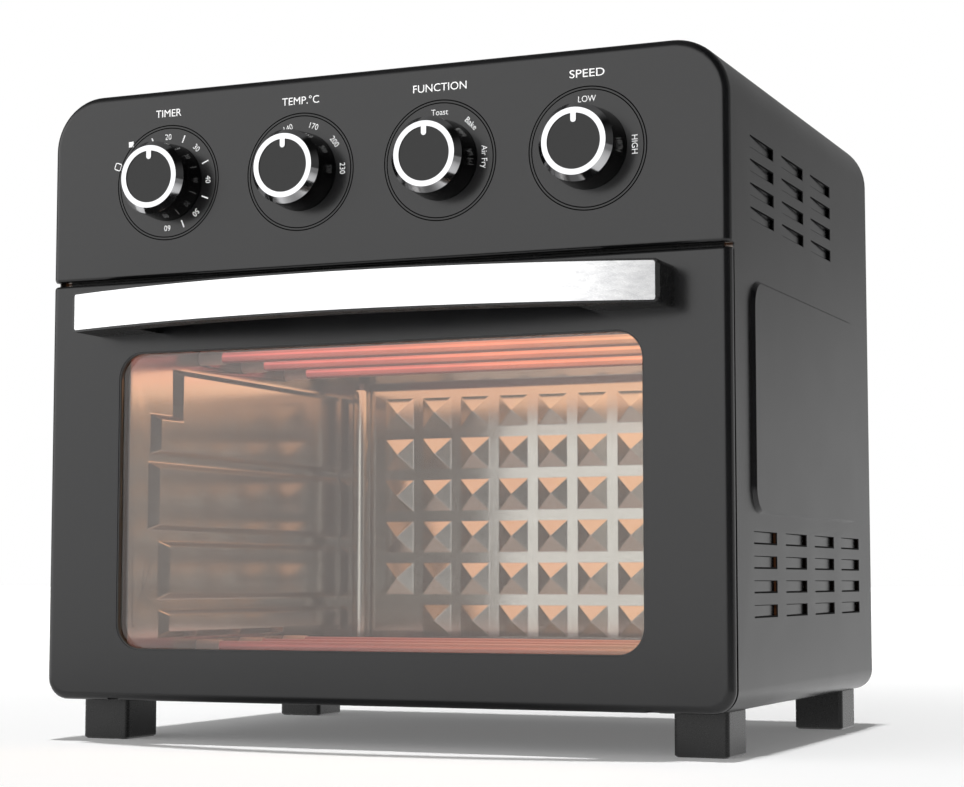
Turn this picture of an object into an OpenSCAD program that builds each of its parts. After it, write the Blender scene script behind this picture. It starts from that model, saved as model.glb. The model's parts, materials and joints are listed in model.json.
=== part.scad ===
// Countertop toaster oven with a drop-down glass door, four control knobs and a top fan.
// X runs to the right, Y from the door to the back, Z up from the table.
// Every module measures Y from the flat front face of the door; from_front() then centres the
// whole object over the origin.

/* [Body] */
// Width of the casing
body_w = 400; // [390:1:410]
// Depth of the casing, from the front face to the back panel
body_d = 295; // [290:1:310]
// Height of the casing above its feet
body_h = 340; // [336:1:344]
// Height of the feet
foot_h = 23; // [18:1:30]
// Radius of the casing's two upper corners
top_r = 30; // [24:1:34]
// Radius of the casing's two lower corners
bottom_r = 12; // [11:1:14]
// Thickness of the casing's sheet
wrap_t = 0.8; // [0.7:0.1:1.2]

/* [Front] */
// Height of the control panel
panel_h = 105.5; // [103:0.5:108]
// Radius of the rounded front edges
edge_r = 4.5; // [4:0.1:4.6]
// Thickness of the door's outer edge
door_t = 6.2; // [6.2:0.1:6.6]
// Width of the window
window_w = 309; // [300:1:310]
// Height of the window
window_h = 165; // [160:1:166]
// Radius of the window's corners
window_r = 15; // [10:1:18]

/* [Handle] */
// How far the middle of the handle stands out from the door
handle_out = 51; // [48:1:54]
// How much the handle bows out between its ends and its middle
handle_bow = 27; // [22:1:30]
// Length of the steel strip on the handle
strip_w = 337.6; // [330:0.1:340]
// Height of the steel strip on the handle
strip_h = 19.7; // [18:0.1:20.5]

/* [Controls] */
// Distance between neighbouring dials
dial_pitch = 83.1; // [80:0.1:84]
// Height of the dials' centres
dial_z = 310.2; // [308:0.1:312]
// Radius of a knob's foot
skirt_r = 21.5; // [20.5:0.5:24]
// How far a knob stands out from the panel
knob_out = 20.5; // [19:0.5:22]

/* [Cavity] */
// Inside width between the two side walls
cavity_w = 307; // [304:0.5:308]
// Distance from the front face to the cavity's back wall
cavity_back = 272; // [270:1:274]
// Diameter of a heating tube
heater_d = 6.5; // [6:0.1:7]
// Height of the stamped pyramids on the back wall
pyramid_h = 4.5; // [3:0.5:5.5]

/* [Hidden] */
$fn = 96;
eps = 0.01; // how far a cutter runs past the face it opens

// Main levels
half_w = body_w / 2;
body_bottom = foot_h;
body_top = foot_h + body_h;
gland_out = 4;
front_y = (handle_out - body_d - gland_out) / 2;
panel_bottom = body_top - panel_h;
groove = 2.1; // gap between the door and the control panel
groove_edge_r = 2; // radius of the two edges beside that gap
door_top = panel_bottom - groove;
panel_wall = 2;
wrap_front = 8;
back_t = 1.0;
wrap_back = body_d - back_t;
lip_t = 0.8;
base_t = 1.0;
fillet_steps = 8; // facets in each rounded front edge

// Louvres in the casing's sides: [first row's foot, rows, columns, length]
louvre_y = 38;
louvre_pitch_y = 61;
louvre_pitch_z = 12.5;
louvre_h = 6;
louvre_deep = 2.0;
upper_louvres = [body_top - 88.5, 4, 3, 44.5];
lower_louvres = [foot_h + 47.3, 4, 4, 43.5];

// Raised pad pressed into each side: [front, foot, back, head, corner radius]
pad = [35, foot_h + 99, 260, foot_h + 221, 15];
pad_out = 2.2;

// Window, glass and the frame behind it
window_foot = foot_h + 27.8;
window_head = window_foot + window_h;
glass_y = [2.2, 6.2];
glass_lap = 6.5;
inner_frame_t = 1.0;

// Door hinge and its guide arms
hinge_y = 4.2;
hinge_z = foot_h + 3.5;
pin_r = 1.5;
pin_gap = 0.05;
ear_r = 2.4;
ear_x = [154, 160];
pin_x = [148, 166];
arm_r = 107;
arm_t = 5;
arm_x = [166.5, 169.5];
arm_reach = 88; // degrees of arc behind the hinge's vertical

// Cavity
cavity_hw = cavity_w / 2;
cavity_floor_z = foot_h + 10;
cavity_top_z = foot_h + 203;
sheet_t = 0.6;
flange_y = [12, 12.8];
guide_in = 4; // how far the rack guides stand in from the side walls
guide_back = 269;
guide_slope = [6.5, 3]; // length of their slopes in front, and above and below
rivets = [[27, foot_h + 59], [18, foot_h + 40.5]]; // rivet holes near the wall's front edge
pyramid_pitch = 27.2;
pyramid_side = 20.2;
pyramid_rows = 6;
pyramid_columns = 9;
pyramid_foot_z = foot_h + 40.2;
post_r = 5.8;
post_x = 135;
post_y = cavity_back - 4;

// Heaters
heater_ys = [90, 141.5, 197];
upper_heater_z = foot_h + 197.5;
lower_heater_z = foot_h + 27.5;
heater_reach = 160;
insulator_r = 3.9;
insulator_x = [138, 157];

// Fan above the cavity
fan_y = 143.5;
fan_r = 62;
fan_case_r = 70;
recess_z = cavity_top_z + 10;
fan_case_z = [recess_z + sheet_t, recess_z + 26];
fan_shaft_r = 3;
running_gap = 0.05;

// Controls
dial_xs = [-1.5 * dial_pitch, -0.5 * dial_pitch, 0.5 * dial_pitch, 1.5 * dial_pitch];
shaft_r = 3;
bush_r = 5;
panel_hole_r = 5.2;
knob_gap = 0.8; // between a knob's skirt and the panel
cap_r = 16;
bezel_r = 20.2; // the bright bezel's outer, bevelled and inner radii
ring_out_r = 17.35;
ring_in_r = 14.4;
bezel_deep = 3.5;
ring_t = 0.6;

// Handle
strip_t = 1.2;
bow_r = (pow(strip_w / 2, 2) + pow(handle_bow, 2)) / (2 * handle_bow);
handle_z = foot_h + 213.55;
handle_border = 1.1;
handle_corner = 3; // corner radii of the handle and of its strip, seen from the front
strip_corner = 1;
handle_end = strip_w / 2 + 2.2;
handle_reach = 100; // a depth that is past the front of the handle
strip_gap = 0.1;

// Feet and fasteners
foot_x = [161, 190];
foot_front_y = [23.4, 56];
foot_rear_y = [258, 290.6];
screw_r = 1.8;
handle_screw_r = 2;
gland_x = 150;
gland_z = foot_h + 40;
gland_r = 8;
cord_r = 4.2;

// ---------------------------------------------------------------- helpers
module from_front() translate([0, front_y, 0]) children();

module slab_y(y0, y1) translate([0, y1, 0]) rotate([90, 0, 0]) linear_extrude(y1 - y0) children();

module slab_x(x0, x1) translate([x0, 0, 0]) rotate([90, 0, 90]) linear_extrude(x1 - x0) children();

module slab_z(z0, z1) translate([0, 0, z0]) linear_extrude(z1 - z0) children();

module rod_x(x0, x1, r) translate([x0, 0, 0]) rotate([0, 90, 0]) cylinder(h = x1 - x0, r = r);

module rod_y(y0, y1, r) translate([0, y0, 0]) rotate([-90, 0, 0]) cylinder(h = y1 - y0, r = r);

module both_sides() {
    children();
    mirror([1, 0, 0]) children();
}

module rounded_rect(x0, y0, x1, y1, r) {
    translate([x0 + r, y0]) square([x1 - x0 - 2 * r, y1 - y0]);
    translate([x0, y0 + r]) square([x1 - x0, y1 - y0 - 2 * r]);
    for (x = [x0 + r, x1 - r], y = [y0 + r, y1 - r])
        translate([x, y]) circle(r);
}

// The casing's outline seen from the front, drawn inwards by inset
module body_outline(inset) {
    upper_x = half_w - top_r;
    lower_x = half_w - bottom_r;
    shoulder = body_top - top_r;
    translate([-upper_x, body_bottom + inset]) square([2 * upper_x, body_h - 2 * inset]);
    translate([-lower_x, body_bottom + inset]) square([2 * lower_x, shoulder - body_bottom - inset]);
    translate([-half_w + inset, body_bottom + bottom_r])
        square([2 * (half_w - inset), shoulder - body_bottom - bottom_r]);
    for (side = [-1, 1]) {
        translate([side * upper_x, shoulder]) circle(top_r - inset);
        translate([side * lower_x, body_bottom + bottom_r]) circle(bottom_r - inset);
    }
}

function arc_points(cx, cy, r, from, to, steps) =
    [for (i = [0:steps]) let (a = from + (to - from) * i / steps) [cx + r * cos(a), cy + r * sin(a)]];

// A disc with rounded rims, lying in the front plane: one corner of a panel with filleted edges
module filleted_corner(r, front_r, rear_r, depth) {
    rear = rear_r > 0 ? arc_points(r - rear_r, depth - rear_r, rear_r, 0, 90, 4) : [[r, depth]];
    rotate([-90, 0, 0]) rotate_extrude($fn = 64)
        polygon(concat([[0, 0]], arc_points(r - front_r, front_r, front_r, -90, 0, fillet_steps),
                       rear, [[0, depth]]));
}

// The front half of an upright post with one rounded end, for a panel's square corner
module filleted_post(z0, z1, end_r) {
    mirror([0, 1, 0]) rotate_extrude(angle = 180, $fn = 64)
        polygon(concat([[0, z0], [edge_r, z0]],
                       arc_points(edge_r - end_r, z1 - end_r, end_r, 0, 90, 4), [[0, z1]]));
}

// ---------------------------------------------------------------- casing
// A louvre's outline seen from above: flush at the front, deep at the back
module louvre_outline(length, grow) {
    polygon([[half_w - wrap_t + 0.5, -2 * grow], [half_w - wrap_t - grow, 0],
             [half_w - louvre_deep - grow, length], [half_w - wrap_t + 0.5, length]]);
}

module louvres(rows, solid) {
    pocket_t = 0.7;
    for (column = [0:rows[2] - 1], row = [0:rows[1] - 1])
        translate([0, louvre_y + column * louvre_pitch_y, rows[0] + row * louvre_pitch_z])
            if (solid)
                slab_z(-pocket_t, louvre_h + pocket_t) louvre_outline(rows[3], pocket_t);
            else
                slab_z(0, louvre_h)
                    polygon([[half_w + 1, 0], [half_w, 0], [half_w - louvre_deep, rows[3]],
                             [half_w - louvre_deep, rows[3] + eps], [half_w + 1, rows[3] + eps]]);
}

module pad_shape(base_x, top_x, inset) {
    slope = pad_out;
    hull() {
        slab_x(base_x, base_x + eps)
            rounded_rect(pad[0] + inset, pad[1] + inset, pad[2] - inset, pad[3] - inset, pad[4], $fn = 48);
        slab_x(top_x - eps, top_x)
            rounded_rect(pad[0] + inset + slope, pad[1] + inset + slope, pad[2] - inset - slope,
                         pad[3] - inset - slope, pad[4] - slope, $fn = 48);
    }
}

module outer_wrap() {
    opening_hw = 150;
    lip_in = 12;
    color("#333436")
    difference() {
        union() {
            slab_y(wrap_front, wrap_back) body_outline(0);
            both_sides() pad_shape(half_w - wrap_t, half_w + pad_out, 0);
        }
        difference() {
            slab_y(wrap_front - 1, wrap_back - lip_t) body_outline(wrap_t);
            both_sides() {
                louvres(upper_louvres, true);
                louvres(lower_louvres, true);
            }
        }
        slab_y(wrap_back - lip_t - 1, wrap_back + 1) body_outline(lip_in);
        both_sides() {
            louvres(upper_louvres, false);
            louvres(lower_louvres, false);
            pad_shape(half_w - 2 * wrap_t, half_w + pad_out - wrap_t, wrap_t);
            foot_screw_holes(body_bottom, screw_r + 0.1);
        }
        slab_y(wrap_front - 1, wrap_back + 1)
            translate([-opening_hw, body_bottom - 1]) square([2 * opening_hw, 20]);
        case_screw_places() rod_y(wrap_back - 5, wrap_back + 1, screw_r + 0.05);
    }
}

module foot_screw_holes(z, r) {
    for (y = [foot_front_y, foot_rear_y])
        translate([(foot_x[0] + foot_x[1]) / 2, (y[0] + y[1]) / 2, z - 2]) cylinder(h = 6, r = r);
}

module base_plate() {
    plate_hw = 187;
    plate_y = [17, wrap_back - lip_t - 0.5];
    slot_r = 2;
    color("#2b2b2d")
    difference() {
        slab_z(body_bottom + wrap_t, body_bottom + wrap_t + base_t)
            translate([-plate_hw, plate_y[0]]) square([2 * plate_hw, plate_y[1] - plate_y[0]]);
        both_sides() foot_screw_holes(body_bottom, screw_r + 0.1);
        for (column = [-3:3], y = [110:18:200])
            translate([column * 36, y, body_bottom])
                slab_z(-1, 4) rounded_rect(-12, -slot_r, 12, slot_r, slot_r - eps);
    }
}

module case_screw_places() {
    for (side = [-1, 1]) {
        for (z = [foot_h + 40, foot_h + 150, foot_h + 260])
            translate([side * (half_w - 6.5), 0, z]) children();
        translate([side * 90, 0, body_top - 6.5]) children();
    }
}

module back_panel() {
    slot_r = 2;
    color("#2b2b2d")
    difference() {
        slab_y(wrap_back, body_d) body_outline(0);
        for (column = [-2:2], row = [0:5])
            translate([column * 44, 0, body_top - 110 + row * 12])
                slab_y(wrap_back - 1, body_d + 1) rounded_rect(-16, -slot_r, 16, slot_r, slot_r - eps);
        for (column = [-2:2], row = [0:2])
            translate([column * 44, 0, body_bottom + 34 + row * 12])
                slab_y(wrap_back - 1, body_d + 1) rounded_rect(-16, -slot_r, 16, slot_r, slot_r - eps);
        translate([gland_x, 0, gland_z]) rod_y(wrap_back - 1, body_d + 1, gland_r + 0.05);
        case_screw_places() rod_y(wrap_back - 1, body_d + 1, screw_r + 0.05);
    }
}

module case_screws() {
    head = [2.2, 3.6]; // height and radius of the head
    cross = [4.8, 0.9]; // length and width of the two slots in it
    color("#5b5b5e")
    case_screw_places()
        difference() {
            union() {
                rod_y(wrap_back - 9, body_d + 0.5, screw_r);
                rod_y(body_d, body_d + head[0], head[1]);
            }
            for (turn = [0, 90])
                rotate([0, turn, 0])
                    translate([-cross[0] / 2, body_d + head[0] - 1, -cross[1] / 2])
                        cube([cross[0], 2, cross[1]]);
        }
}

module cord_gland() {
    gland_in = 8;
    collar_r = 11;
    color("#161617")
    translate([gland_x, 0, gland_z])
        difference() {
            union() {
                rod_y(wrap_back - gland_in, body_d + 0.5, gland_r);
                rod_y(body_d, body_d + gland_out, collar_r);
            }
            rod_y(wrap_back - gland_in - 1, body_d + gland_out + 1, cord_r);
            rod_y(body_d + gland_out - 1, body_d + gland_out + 1, cord_r + 2.2);
        }
}

module foot(side, ys) {
    corner_r = 2.5;
    toe = 1.2; // how far the foot draws in at the floor
    plan = [side > 0 ? foot_x[0] : -foot_x[1], ys[0], side > 0 ? foot_x[1] : -foot_x[0], ys[1]];
    centre = [(plan[0] + plan[2]) / 2, (plan[1] + plan[3]) / 2, 0];
    color("#1b1b1c")
    difference() {
        hull() {
            slab_z(0, eps)
                rounded_rect(plan[0] + toe, plan[1] + toe, plan[2] - toe, plan[3] - toe, corner_r - 0.5,
                             $fn = 32);
            slab_z(1, body_bottom)
                rounded_rect(plan[0], plan[1], plan[2], plan[3], corner_r, $fn = 32);
        }
        translate(centre) translate([0, 0, -1]) cylinder(h = 15, r = 4.5);
        translate(centre) cylinder(h = foot_h + 1, r = screw_r + 0.1);
    }
}

module foot_screws() {
    head = [11.5, 2.5, 3.8]; // height of the head above the table, its thickness and its radius
    color("#8d8d90")
    both_sides()
        for (y = [foot_front_y, foot_rear_y])
            translate([(foot_x[0] + foot_x[1]) / 2, (y[0] + y[1]) / 2, head[0]]) {
                cylinder(h = head[1], r = head[2]);
                cylinder(h = foot_h - head[0] + 4.5, r = screw_r);
            }
}

// ---------------------------------------------------------------- front
module front_frame() {
    color("#8f8c88")
    difference() {
        intersection() {
            slab_y(flange_y[0], flange_y[1]) body_outline(1.2);
            translate([-half_w, 0, 0]) cube([body_w, 50, panel_bottom + 4.5]);
        }
        slab_y(flange_y[0] - 1, flange_y[1] + 1)
            rounded_rect(-cavity_hw, cavity_floor_z, cavity_hw, cavity_top_z, 6);
        both_sides() {
            translate([ear_x[0] - 1, 0, 0]) cube([ear_x[1] - ear_x[0] + 2, 20, hinge_z + ear_r + 1]);
            translate([arm_x[0] - 1.2, 0, hinge_z + arm_r - 6])
                cube([arm_x[1] - arm_x[0] + 2.4, 20, 12]);
        }
    }
}

module panel_corners() {
    for (side = [-1, 1]) {
        translate([side * (half_w - top_r), 0, body_top - top_r])
            filleted_corner(top_r, edge_r, 0, wrap_front);
        translate([side * (half_w - edge_r), edge_r, 2 * panel_bottom + 20])
            mirror([0, 0, 1]) filleted_post(panel_bottom, panel_bottom + 20, groove_edge_r);
        translate([side > 0 ? half_w - 5 : -half_w, edge_r, panel_bottom + 0.4])
            cube([5, wrap_front - edge_r, 10]);
    }
}

module control_panel() {
    ring_rs = [32.2, 30.7];
    ring_w = 0.45;
    ring_deep = 0.35;
    rim = 2;
    color("#3f4042")
    difference() {
        hull() panel_corners();
        slab_y(panel_wall, wrap_front + 1)
            intersection() {
                body_outline(rim);
                translate([-half_w, panel_bottom + rim]) square([body_w, panel_h]);
            }
        for (x = dial_xs) translate([x, 0, dial_z]) {
            rod_y(-1, panel_wall + 1, panel_hole_r);
            for (r = ring_rs) difference() {
                rod_y(-1, ring_deep, r + ring_w / 2);
                rod_y(-2, ring_deep + 1, r - ring_w / 2);
            }
        }
    }
}

// ---------------------------------------------------------------- cavity
// One pressed panel of the left wall, with a slope on every side. The racks slide in the grooves
// between the panels. grow moves its surface outwards, to cut its hollow back.
module guide(y0, z0, z1, grow) {
    wall = -cavity_hw - grow;
    inner = wall + guide_in;
    deep = wall - 1;
    intersection() {
        slab_z(z0 - 1, z1 + 1)
            polygon([[deep, y0], [wall, y0], [inner, y0 + guide_slope[0]],
                     [inner, guide_back - guide_slope[1]], [wall, guide_back], [deep, guide_back]]);
        slab_y(y0 - 1, guide_back + 1)
            polygon([[deep, z0], [wall, z0], [inner, z0 + guide_slope[1]],
                     [inner, z1 - guide_slope[1]], [wall, z1], [deep, z1]]);
    }
}

module guides(grow) {
    guide(33, foot_h + 137.5, foot_h + 161, grow);
    guide(57, foot_h + 137.5, foot_h + 188, grow);
    guide(31.5, foot_h + 94.5, foot_h + 133.3, grow);
    guide(43.3, foot_h + 55.5, foot_h + 88.5, grow);
    guide(43.8, foot_h + 33.7, foot_h + 49.3, grow);
}

module cavity_left_wall() {
    rivet_r = 0.9;
    color("#a39b92")
    difference() {
        union() {
            translate([-cavity_hw - sheet_t, flange_y[1], cavity_floor_z])
                cube([sheet_t, cavity_back - flange_y[1], cavity_top_z - cavity_floor_z]);
            guides(0);
        }
        guides(sheet_t);
        translate([-cavity_hw - sheet_t - 2, 0, 0])
            cube([2, body_d, body_top]);
        for (y = heater_ys, z = [lower_heater_z, upper_heater_z])
            translate([0, y, z]) rod_x(-cavity_hw - 2, -cavity_hw + 1, insulator_r + 0.1);
        for (place = rivets)
            translate([0, place[0], place[1]]) rod_x(-cavity_hw - 2, -cavity_hw + 1, rivet_r);
    }
}

module cavity_right_wall() mirror([1, 0, 0]) cavity_left_wall();

module cavity_ceiling() {
    recess_hw = 137;
    recess_y = [70, 217];
    hole_r = 3;
    color("#a39b92")
    difference() {
        union() {
            translate([-cavity_hw - sheet_t, flange_y[1], cavity_top_z])
                cube([cavity_w + 2 * sheet_t, cavity_back + sheet_t - flange_y[1], sheet_t]);
            translate([-recess_hw, recess_y[0], cavity_top_z])
                cube([2 * recess_hw, recess_y[1] - recess_y[0], recess_z - cavity_top_z + sheet_t]);
        }
        translate([-recess_hw + sheet_t, recess_y[0] + sheet_t, cavity_top_z - 1])
            cube([2 * (recess_hw - sheet_t), recess_y[1] - recess_y[0] - 2 * sheet_t,
                  recess_z - cavity_top_z + 1]);
        for (ring = [1:4], i = [0:6 * ring - 1])
            translate([0, fan_y, 0]) rotate([0, 0, 360 * i / (6 * ring)])
                translate([12 * ring, 0, recess_z - 1]) cylinder(h = 4, r = hole_r);
    }
}

module cavity_floor() {
    color("#a39b92")
    translate([-cavity_hw - sheet_t, flange_y[1], cavity_floor_z - sheet_t])
        cube([cavity_w + 2 * sheet_t, cavity_back + sheet_t - flange_y[1], sheet_t]);
}

// Ridges that cross each other in the pyramids of the back wall
module ridge(length) {
    translate([-length / 2, 0, 0]) slab_x(0, length)
        polygon([[cavity_back + eps, -pyramid_side / 2], [cavity_back - pyramid_h, 0],
                 [cavity_back + eps, pyramid_side / 2]]);
}

module pyramids() {
    span = pyramid_pitch * (pyramid_columns - 1) / 2;
    middle_z = pyramid_foot_z + pyramid_pitch * (pyramid_rows - 1) / 2;
    difference() {
        intersection() {
            for (row = [0:pyramid_rows - 1])
                translate([0, 0, pyramid_foot_z + row * pyramid_pitch])
                    ridge(cavity_w - 20);
            for (column = [0:pyramid_columns - 1])
                translate([-span + column * pyramid_pitch, 0, middle_z])
                    rotate([0, 90, 0]) ridge(pyramid_rows * pyramid_pitch);
        }
        both_sides()
            translate([span - pyramid_pitch / 2, 0, pyramid_foot_z - pyramid_pitch / 2])
                cube([pyramid_pitch, body_d, pyramid_pitch]);
    }
}

module cavity_back_wall() {
    cove = 6;
    pressed_t = 1; // thickness of a pyramid's sheet, measured along Y
    color("#a39b92") {
        difference() {
            union() {
                translate([-cavity_hw - sheet_t, cavity_back, cavity_floor_z])
                    cube([cavity_w + 2 * sheet_t, sheet_t, cavity_top_z - cavity_floor_z]);
                pyramids();
            }
            translate([0, pressed_t, 0]) pyramids();
        }
        slab_x(-cavity_hw, cavity_hw)
            polygon([[cavity_back + eps, cavity_top_z - cove], [cavity_back - cove, cavity_top_z],
                     [cavity_back + eps, cavity_top_z]]);
    }
}

module cavity_corner_posts() {
    foot_z = cavity_floor_z + 10;
    neck_z = cavity_top_z - 11.5;
    neck_r = post_r - 1.3;
    color("#a39b92")
    both_sides()
        translate([post_x, post_y, 0])
            difference() {
                union() {
                    translate([0, 0, foot_z]) cylinder(h = neck_z - foot_z, r = post_r);
                    translate([0, 0, foot_z]) cylinder(h = cavity_top_z - 6.5 - foot_z, r = neck_r);
                }
                translate([0, 0, foot_z + 1]) cylinder(h = neck_z - foot_z - 2, r = post_r - 2 * sheet_t);
                translate([-20, cavity_back - post_y - 0.3, 0]) cube([40, 20, body_top]);
            }
}

module heater(y, z) {
    color("#ff7a4a")
    translate([0, y, z]) {
        rod_x(-heater_reach + 6, heater_reach - 6, heater_d / 2);
        rod_x(-heater_reach, heater_reach, 1.4);
    }
}

module heater_insulators() {
    color("#e8e4da")
    both_sides()
        for (y = heater_ys, z = [lower_heater_z, upper_heater_z])
            translate([0, y, z])
                difference() {
                    rod_x(insulator_x[0], insulator_x[1], insulator_r);
                    rod_x(insulator_x[0] - 1, insulator_x[1] + 1, heater_d / 2 + 0.05);
                }
}

module crumb_tray() {
    tray_hw = 149;
    tray_y = [15, 256];
    rim_h = 6;
    color("#8b8681")
    difference() {
        translate([0, 0, cavity_floor_z + 0.1])
            slab_z(0, rim_h) rounded_rect(-tray_hw, tray_y[0], tray_hw, tray_y[1], 5);
        translate([0, 0, cavity_floor_z + 0.1 + sheet_t])
            slab_z(0, rim_h)
                rounded_rect(-tray_hw + sheet_t, tray_y[0] + sheet_t, tray_hw - sheet_t,
                             tray_y[1] - sheet_t, 5 - sheet_t);
    }
}

// ---------------------------------------------------------------- fan
module fan_housing() {
    color("#a9a6a0")
    translate([0, fan_y, 0])
        difference() {
            union() {
                translate([0, 0, fan_case_z[0]]) cylinder(h = fan_case_z[1] - fan_case_z[0], r = fan_case_r);
                translate([0, 0, fan_case_z[0]]) cylinder(h = sheet_t, r = fan_case_r + 3);
            }
            translate([0, 0, fan_case_z[0] - 1])
                cylinder(h = fan_case_z[1] - fan_case_z[0] - sheet_t + 1, r = fan_case_r - sheet_t);
            cylinder(h = body_top, r = 6);
        }
}

module fan_impeller() {
    blade_count = 8;
    blade_z = fan_case_z[0] + 5;
    blade_h = 13;
    color("#c9c7c2")
    translate([0, fan_y, 0])
        difference() {
            union() {
                translate([0, 0, blade_z + blade_h]) cylinder(h = 1.2, r = fan_r);
                translate([0, 0, blade_z - 1]) cylinder(h = blade_h + 4, r = 8);
                for (i = [0:blade_count - 1])
                    rotate([0, 0, 360 * i / blade_count]) translate([7, -0.6, blade_z])
                        cube([fan_r - 9, 1.2, blade_h + 0.5]);
            }
            cylinder(h = body_top, r = fan_shaft_r + 0.02);
        }
}

module fan_shaft() {
    shaft_len = 62;
    color("#d0d0d2")
    translate([0, fan_y, fan_case_z[0] + 3]) cylinder(h = shaft_len, r = fan_shaft_r);
}

module fan_motor() {
    mount = [34, 2]; // radius and thickness of the motor's plate
    tube = [10, 34]; // radius and height of its bearing tube
    core = [54, 62, 18]; // its laminated core
    core_y = [-25, 8]; // the core's front, and its height above the plate
    coil = [32, 16, 24];
    window = [17, 22, 6]; // places and radius of the two openings beside the coil
    color("#6f6a60")
    translate([0, fan_y, fan_case_z[1]])
        difference() {
            union() {
                cylinder(h = mount[1], r = mount[0]);
                cylinder(h = tube[1], r = tube[0]);
                translate([-core[0] / 2, core_y[0], core_y[1]]) cube(core);
                translate([-coil[0] / 2, core_y[0] + core[1], core_y[1] - 3]) cube(coil);
            }
            translate([0, 0, -1]) cylinder(h = tube[1] + 2, r = fan_shaft_r + running_gap);
            for (side = [-1, 1])
                translate([side * window[0], window[1], mount[1]]) cylinder(h = core[2] + 10, r = window[2]);
        }
}

// ---------------------------------------------------------------- controls
// A control's fixed half: plate, threaded bush and body, drilled for its shaft
module control_unit(x, size) {
    plate = 36;
    plate_t = 1.5;
    bush_out = 4;
    tab = [6, 8, 0.8]; // size of each of its two terminals
    rear = panel_wall + size[1];
    translate([x, 0, dial_z])
        difference() {
            union() {
                rod_y(-bush_out, panel_wall + 1, bush_r);
                translate([-plate / 2, panel_wall, -plate / 2]) cube([plate, plate_t, plate]);
                translate([-size[0] / 2, panel_wall + plate_t, -size[2] / 2])
                    cube([size[0], size[1] - plate_t, size[2]]);
                for (i = [-1, 1])
                    translate([i * size[0] / 4 - tab[0] / 2, rear, -tab[2] / 2]) cube(tab);
            }
            rod_y(-bush_out - 1, rear - 4, shaft_r + running_gap);
        }
}

module timer_unit() {
    color("#b9b3a2")
    control_unit(dial_xs[0], [44, 40, 42]);
}

module thermostat() {
    color("#d6cfc0")
    control_unit(dial_xs[1], [30, 30, 32]);
}

module function_switch() {
    color("#c8b98f")
    control_unit(dial_xs[2], [38, 32, 36]);
}

module speed_switch() {
    color("#c8b98f")
    control_unit(dial_xs[3], [32, 24, 32]);
}

module timer_bell() {
    bell_r = 13;
    bell_t = 1;
    bell_deep = 6;
    post_len = 4;
    bell_y = panel_wall + 40 + post_len;
    color("#c7c9cc")
    translate([dial_xs[0], 0, dial_z + 16]) {
        rod_y(bell_y - post_len, bell_y + bell_deep, 2);
        difference() {
            rod_y(bell_y, bell_y + bell_deep, bell_r);
            rod_y(bell_y - 1, bell_y + bell_deep - bell_t, bell_r - bell_t);
        }
    }
}

module control_nuts() {
    nut = [2.8, 7.5]; // thickness, and radius to the corners
    color("#b8b8ba")
    for (x = dial_xs) translate([x, 0, dial_z])
        difference() {
            rotate([90, 0, 0]) cylinder(h = nut[0], r = nut[1], $fn = 6);
            rod_y(-4, 1, bush_r + 0.02);
        }
}

// Knobs are drawn with their axis along Z and their pointer along Y, then stood on the panel
module at_dial(x) translate([x, 0, dial_z]) rotate([90, 0, 0]) children();

module knob(x) {
    face_z = knob_out - ring_t;
    seat_z = knob_out - bezel_deep;
    hollow = [19, 8]; // radius and depth of the hollow behind the knob
    hub = [7, 4]; // radius of its hub, and how far that stands back
    color("#19191a")
    at_dial(x)
        difference() {
            rotate_extrude()
                polygon([[0, knob_gap], [skirt_r, knob_gap], [bezel_r, seat_z],
                         [cap_r, seat_z], [cap_r, face_z], [0, face_z]]);
            difference() {
                cylinder(h = hollow[1], r = hollow[0]);
                translate([0, 0, hub[1]]) cylinder(h = hollow[1], r = hub[0]);
            }
            cylinder(h = 16, r = shaft_r + 0.02);
        }
}

module knob_ring(x) {
    pointer_w = 3;
    pointer_r = 9.6;
    face_z = knob_out - ring_t;
    seat_r = cap_r + 0.02;
    color("#e6e6e8")
    at_dial(x) {
        rotate_extrude()
            polygon([[seat_r, knob_out - bezel_deep], [bezel_r, knob_out - bezel_deep],
                     [ring_out_r, knob_out], [ring_in_r, knob_out], [ring_in_r, face_z],
                     [seat_r, face_z]]);
        slab_z(face_z, knob_out) {
            translate([-pointer_w / 2, pointer_r + pointer_w / 2])
                square([pointer_w, ring_in_r - pointer_r]);
            translate([0, pointer_r + pointer_w / 2]) circle(pointer_w / 2);
        }
    }
}

module knob_shaft(x) {
    shaft_z = [-14, 15.5];
    color("#c9a95a")
    at_dial(x) translate([0, 0, shaft_z[0]]) cylinder(h = shaft_z[1] - shaft_z[0], r = shaft_r);
}

// ---------------------------------------------------------------- door
module door_corners() {
    rear_edge_r = 1.2;
    for (side = [-1, 1]) {
        translate([side * (half_w - bottom_r), 0, body_bottom + bottom_r])
            filleted_corner(bottom_r, edge_r, rear_edge_r, door_t);
        translate([side * (half_w - edge_r), edge_r, 0])
            filleted_post(door_top - 20, door_top, groove_edge_r);
        translate([side > 0 ? half_w - 5 : -half_w, edge_r, door_top - 10.4])
            cube([5, door_t - edge_r, 10]);
    }
}

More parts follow.
